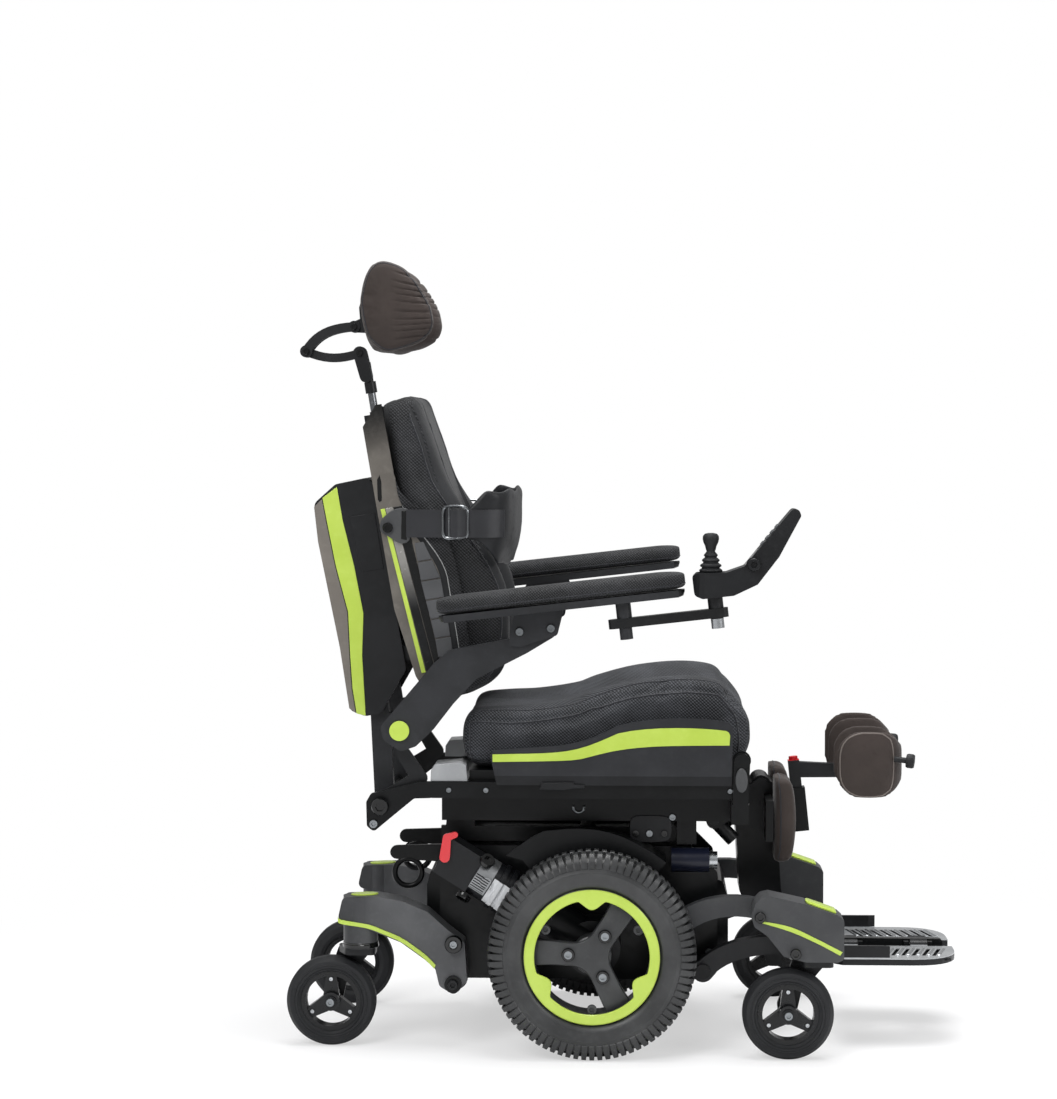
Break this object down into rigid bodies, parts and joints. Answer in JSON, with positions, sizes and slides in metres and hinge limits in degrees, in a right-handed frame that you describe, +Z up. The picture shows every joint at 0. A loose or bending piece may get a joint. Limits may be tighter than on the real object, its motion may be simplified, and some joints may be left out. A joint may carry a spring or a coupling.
{
  "type": "standing power wheelchair",
  "caption": "Mid-wheel power wheelchair whose seat lifts, tilts and raises the user to standing, with reclining back, knee supports, headrest, armrests and a joystick.",
  "frame": {"origin": "on the floor, under the middle of the chair's bounding box", "axes": "+X forwards, +Y to the user's left, +Z up"},
  "size_m": [1.172, 0.636, 1.3696],
  "materials": {
    "black_metal": "satin powder coat",
    "grey_metal": "textured powder coat",
    "motor_grey": "satin",
    "black_plastic": "fine grain",
    "battery_case": "smooth",
    "red_plastic": "gloss",
    "tyre": "matt",
    "rim": "satin with a lime trim ring",
    "steel": "ground",
    "silver": "satin",
    "seat_fabric": "spacer mesh",
    "stretch_fabric": "brown-black stretch fabric",
    "webbing": "woven",
    "arm_pad": "soft grain"
  },
  "bodies": {
    "base": {"chassis_frame": "black_metal", "base_shroud": "black_plastic", "batteries": "battery_case", "motors": "motor_grey"},
    "drive_wheel_right": {"drive_tyre_right": "tyre", "drive_rim_right": "rim"},
    "freewheel_lever_right": {"freewheel_lever_right": "red_plastic"},
    "rear_arm_right": {"rear_arm_right": "grey_metal"},
    "rear_fork_right": {"rear_fork_right": "black_metal"},
    "rear_caster_right": {"rear_caster_right": "tyre"},
    "front_upper_link_right": {"front_upper_link_right": "grey_metal"},
    "front_lower_link_right": {"front_lower_link_right": "grey_metal"},
    "front_housing_right": {"front_housing_right": "grey_metal"},
    "front_fork_right": {"front_fork_right": "black_metal"},
    "front_caster_right": {"front_caster_right": "tyre"},
    "armrest_right": {"armrest_right": "black_metal", "arm_pad_right": "arm_pad"},
    "footplate_right": {"footplate_right": "silver"},
    "drive_wheel_left": {"drive_tyre_left": "tyre", "drive_rim_left": "rim"},
    "freewheel_lever_left": {"freewheel_lever_left": "red_plastic"},
    "rear_arm_left": {"rear_arm_left": "grey_metal"},
    "rear_fork_left": {"rear_fork_left": "black_metal"},
    "rear_caster_left": {"rear_caster_left": "tyre"},
    "front_upper_link_left": {"front_upper_link_left": "grey_metal"},
    "front_lower_link_left": {"front_lower_link_left": "grey_metal"},
    "front_housing_left": {"front_housing_left": "grey_metal"},
    "front_fork_left": {"front_fork_left": "black_metal"},
    "front_caster_left": {"front_caster_left": "tyre"},
    "armrest_left": {"armrest_left": "black_metal", "arm_pad_left": "arm_pad"},
    "footplate_left": {"footplate_left": "silver"},
    "lift_stage": {"lift_stage": "steel"},
    "lift_carriage": {"lift_carriage": "black_metal"},
    "tilt_frame": {"tilt_frame": "black_metal"},
    "back_carrier": {"back_carrier": "black_metal"},
    "headrest_post": {"headrest_post": "black_metal"},
    "headrest_lower_link": {"headrest_lower_link": "black_metal"},
    "headrest_upper_link": {"headrest_upper_link": "black_metal"},
    "control_swing_arm": {"control_swing_arm": "black_metal"},
    "control_box": {"control_box": "black_plastic"},
    "joystick_gimbal": {"joystick_gimbal": "steel"},
    "joystick": {"joystick": "black_plastic"},
    "control_paddle": {"control_paddle": "black_plastic"},
    "tilt_tubes": {"tilt_actuator_tubes": "black_metal"},
    "tilt_rods": {"tilt_actuator_rods": "steel"},
    "stand_tubes": {"stand_actuator_tubes": "black_metal"},
    "stand_rods": {"stand_actuator_rods": "steel"},
    "seat": {"seat_frame": "black_metal", "seat_side_panels": "black_plastic", "seat_cushion": "seat_fabric"},
    "back": {"back_frame": "black_metal", "back_shroud": "black_plastic", "back_cushion": "seat_fabric", "chest_belt": "webbing"},
    "headrest": {"headrest_pad": "stretch_fabric"},
    "legrest": {"legrest_post": "black_metal", "calf_pads": "stretch_fabric"},
    "knee_support": {"knee_post": "black_metal", "knee_pads": "stretch_fabric"}
  },
  "joints": [
    {"name": "lift", "type": "slide", "parent": "base", "child": "lift_carriage", "axis": [0, 0, 1], "range_m": [0, 0.3]},
    {"name": "tilt", "type": "hinge", "parent": "lift_carriage", "child": "tilt_frame", "pos_m": [-0.29, 0, 0.415], "axis": [0, 1, 0], "range_deg": [-30, 0]},
    {"name": "stand", "type": "hinge", "parent": "tilt_frame", "child": "seat", "pos_m": [0.204, 0, 0.505], "axis": [0, 1, 0], "range_deg": [0, 78]},
    {"name": "recline", "type": "hinge", "parent": "back_carrier", "child": "back", "pos_m": [-0.418, 0, 0.424], "axis": [0, 1, 0], "range_deg": [-55, 0]},
    {"name": "leg_lift", "type": "hinge", "parent": "tilt_frame", "child": "legrest", "pos_m": [0.245, 0, 0.44], "axis": [0, 1, 0], "range_deg": [-55, 0]},
    {"name": "armrest_right_fold", "type": "hinge", "parent": "back", "child": "armrest_right", "pos_m": [-0.383, -0.25, 0.557], "axis": [0, 1, 0], "range_deg": [-90, 0]},
    {"name": "armrest_left_fold", "type": "hinge", "parent": "back", "child": "armrest_left", "pos_m": [-0.383, 0.25, 0.557], "axis": [0, 1, 0], "range_deg": [-90, 0]},
    {"name": "footplate_right_fold", "type": "hinge", "parent": "legrest", "child": "footplate_right", "pos_m": [0.468, -0.02, 0.15], "axis": [1, 0, 0], "range_deg": [-80, 0]},
    {"name": "footplate_left_fold", "type": "hinge", "parent": "legrest", "child": "footplate_left", "pos_m": [0.468, 0.02, 0.15], "axis": [1, 0, 0], "range_deg": [0, 80]},
    {"name": "knee_height", "type": "slide", "parent": "legrest", "child": "knee_support", "axis": [-0.1045, 0, 0.9945], "range_m": [-0.015, 0.015]},
    {"name": "control_swing", "type": "hinge", "parent": "armrest_right", "child": "control_swing_arm", "pos_m": [0.0035, -0.284, 0.745], "axis": [-0.1115, 0, 0.9938], "range_deg": [-90, 0]},
    {"name": "headrest_height", "type": "slide", "parent": "back", "child": "headrest_post", "axis": [-0.1599, 0, 0.9871], "range_m": [0, 0.06]},
    {"name": "headrest_reach", "type": "hinge", "parent": "headrest_post", "child": "headrest_lower_link", "pos_m": [-0.473, 0, 1.21], "axis": [0, 1, 0], "range_deg": [-20, 6]},
    {"name": "headrest_elbow", "type": "hinge", "parent": "headrest_lower_link", "child": "headrest_upper_link", "pos_m": [-0.569, 0, 1.213], "axis": [0, 1, 0], "range_deg": [-20, 4]},
    {"name": "headrest_tilt", "type": "hinge", "parent": "headrest_upper_link", "child": "headrest", "pos_m": [-0.483, 0, 1.257], "axis": [0, 1, 0], "range_deg": [-20, 8]},
    {"name": "joystick_side", "type": "hinge", "parent": "control_box", "child": "joystick_gimbal", "pos_m": [0.1485, -0.284, 0.82], "axis": [1, 0, 0], "range_deg": [-14, 14], "stiffness_Nm_per_rad": 0.9},
    {"name": "joystick_front", "type": "hinge", "parent": "joystick_gimbal", "child": "joystick", "pos_m": [0.1485, -0.284, 0.82], "axis": [0, 1, 0], "range_deg": [-14, 14], "stiffness_Nm_per_rad": 0.9},
    {"name": "paddle", "type": "hinge", "parent": "control_box", "child": "control_paddle", "pos_m": [0.22, -0.31, 0.846], "axis": [0, 1, 0], "range_deg": [-20, 20], "stiffness_Nm_per_rad": 0.2},
    {"name": "rear_arm_right_swing", "type": "hinge", "parent": "base", "child": "rear_arm_right", "pos_m": [-0.294, -0.185, 0.112], "axis": [0, 1, 0], "range_deg": [-6, 6], "stiffness_Nm_per_rad": 3000},
    {"name": "rear_arm_left_swing", "type": "hinge", "parent": "base", "child": "rear_arm_left", "pos_m": [-0.294, 0.185, 0.112], "axis": [0, 1, 0], "range_deg": [-6, 6], "stiffness_Nm_per_rad": 3000},
    {"name": "front_link_right_swing", "type": "hinge", "parent": "base", "child": "front_upper_link_right", "pos_m": [0.078, -0.216, 0.202], "axis": [0, 1, 0], "range_deg": [-6, 6], "stiffness_Nm_per_rad": 2500},
    {"name": "front_link_left_swing", "type": "hinge", "parent": "base", "child": "front_upper_link_left", "pos_m": [0.078, 0.216, 0.202], "axis": [0, 1, 0], "range_deg": [-6, 6], "stiffness_Nm_per_rad": 2500},
    {"name": "freewheel_right", "type": "hinge", "parent": "base", "child": "freewheel_lever_right", "pos_m": [-0.30697, -0.23, 0.33609], "axis": [0, 1, 0], "range_deg": [0, 40]},
    {"name": "freewheel_left", "type": "hinge", "parent": "base", "child": "freewheel_lever_left", "pos_m": [-0.30697, 0.23, 0.33609], "axis": [0, 1, 0], "range_deg": [0, 40]},
    {"name": "lift_stage", "type": "slide", "parent": "base", "child": "lift_stage", "axis": [0, 0, 1], "range_m": [0, 0.15]},
    {"name": "tilt_tube", "type": "hinge", "parent": "lift_carriage", "child": "tilt_tubes", "pos_m": [-0.07353, 0, 0.32557], "axis": [0, 1, 0], "range_deg": [-15, 0]},
    {"name": "tilt_rod", "type": "hinge", "parent": "tilt_frame", "child": "tilt_rods", "pos_m": [-0.056, 0, 0.405], "axis": [0, 1, 0], "range_deg": [0, 15]},
    {"name": "stand_tube", "type": "hinge", "parent": "tilt_frame", "child": "stand_tubes", "pos_m": [0.16, 0, 0.385], "axis": [0, 1, 0], "range_deg": [0, 39]},
    {"name": "stand_rod", "type": "hinge", "parent": "seat", "child": "stand_rods", "pos_m": [0.08235, 0, 0.46579], "axis": [0, 1, 0], "range_deg": [-39, 0]},
    {"name": "back_level", "type": "hinge", "parent": "seat", "child": "back_carrier", "pos_m": [-0.418, 0, 0.424], "axis": [0, 1, 0], "range_deg": [-74.1, 0]},
    {"name": "control_level", "type": "hinge", "parent": "control_swing_arm", "child": "control_box", "pos_m": [0.15853, -0.284, 0.76239], "axis": [-0.1115, 0, 0.9938], "range_deg": [0, 90]},
    {"name": "front_lower_right_swing", "type": "hinge", "parent": "base", "child": "front_lower_link_right", "pos_m": [0.138, -0.216, 0.14], "axis": [0, 1, 0], "range_deg": [-6, 6]},
    {"name": "front_housing_right_level", "type": "hinge", "parent": "front_upper_link_right", "child": "front_housing_right", "pos_m": [0.233, -0.216, 0.248], "axis": [0, 1, 0], "range_deg": [-6, 6]},
    {"name": "front_lower_left_swing", "type": "hinge", "parent": "base", "child": "front_lower_link_left", "pos_m": [0.138, 0.216, 0.14], "axis": [0, 1, 0], "range_deg": [-6, 6]},
    {"name": "front_housing_left_level", "type": "hinge", "parent": "front_upper_link_left", "child": "front_housing_left", "pos_m": [0.233, 0.216, 0.248], "axis": [0, 1, 0], "range_deg": [-6, 6]},
    {"name": "drive_right_spin", "type": "hinge", "parent": "base", "child": "drive_wheel_right", "pos_m": [-0.052, -0.28, 0.178], "axis": [0, 1, 0], "continuous": true},
    {"name": "drive_left_spin", "type": "hinge", "parent": "base", "child": "drive_wheel_left", "pos_m": [-0.052, 0.28, 0.178], "axis": [0, 1, 0], "continuous": true},
    {"name": "rear_fork_right_swivel", "type": "hinge", "parent": "rear_arm_right", "child": "rear_fork_right", "pos_m": [-0.457, -0.185, 0.2], "axis": [0, 0, 1], "continuous": true},
    {"name": "rear_caster_right_spin", "type": "hinge", "parent": "rear_fork_right", "child": "rear_caster_right", "pos_m": [-0.508, -0.185, 0.078], "axis": [0, 1, 0], "continuous": true},
    {"name": "front_fork_right_swivel", "type": "hinge", "parent": "front_housing_right", "child": "front_fork_right", "pos_m": [0.333, -0.275, 0.2], "axis": [0, 0, 1], "continuous": true},
    {"name": "front_caster_right_spin", "type": "hinge", "parent": "front_fork_right", "child": "front_caster_right", "pos_m": [0.282, -0.275, 0.078], "axis": [0, 1, 0], "continuous": true},
    {"name": "rear_fork_left_swivel", "type": "hinge", "parent": "rear_arm_left", "child": "rear_fork_left", "pos_m": [-0.457, 0.185, 0.2], "axis": [0, 0, 1], "continuous": true},
    {"name": "rear_caster_left_spin", "type": "hinge", "parent": "rear_fork_left", "child": "rear_caster_left", "pos_m": [-0.508, 0.185, 0.078], "axis": [0, 1, 0], "continuous": true},
    {"name": "front_fork_left_swivel", "type": "hinge", "parent": "front_housing_left", "child": "front_fork_left", "pos_m": [0.333, 0.275, 0.2], "axis": [0, 0, 1], "continuous": true},
    {"name": "front_caster_left_spin", "type": "hinge", "parent": "front_fork_left", "child": "front_caster_left", "pos_m": [0.282, 0.275, 0.078], "axis": [0, 1, 0], "continuous": true}
  ],
  "couplings": [
    {"joint": "lift_stage", "follows": "lift", "ratio": 0.5},
    {"joint": "tilt_tube", "follows": "tilt", "ratio": 0.5},
    {"joint": "tilt_rod", "follows": "tilt", "ratio": -0.5},
    {"joint": "stand_tube", "follows": "stand", "ratio": 0.5},
    {"joint": "stand_rod", "follows": "stand", "ratio": -0.5},
    {"joint": "back_level", "follows": "stand", "ratio": -0.95},
    {"joint": "control_level", "follows": "control_swing", "ratio": -1},
    {"joint": "front_lower_right_swing", "follows": "front_link_right_swing", "ratio": 1},
    {"joint": "front_housing_right_level", "follows": "front_link_right_swing", "ratio": -1},
    {"joint": "front_lower_left_swing", "follows": "front_link_left_swing", "ratio": 1},
    {"joint": "front_housing_left_level", "follows": "front_link_left_swing", "ratio": -1}
  ]
}
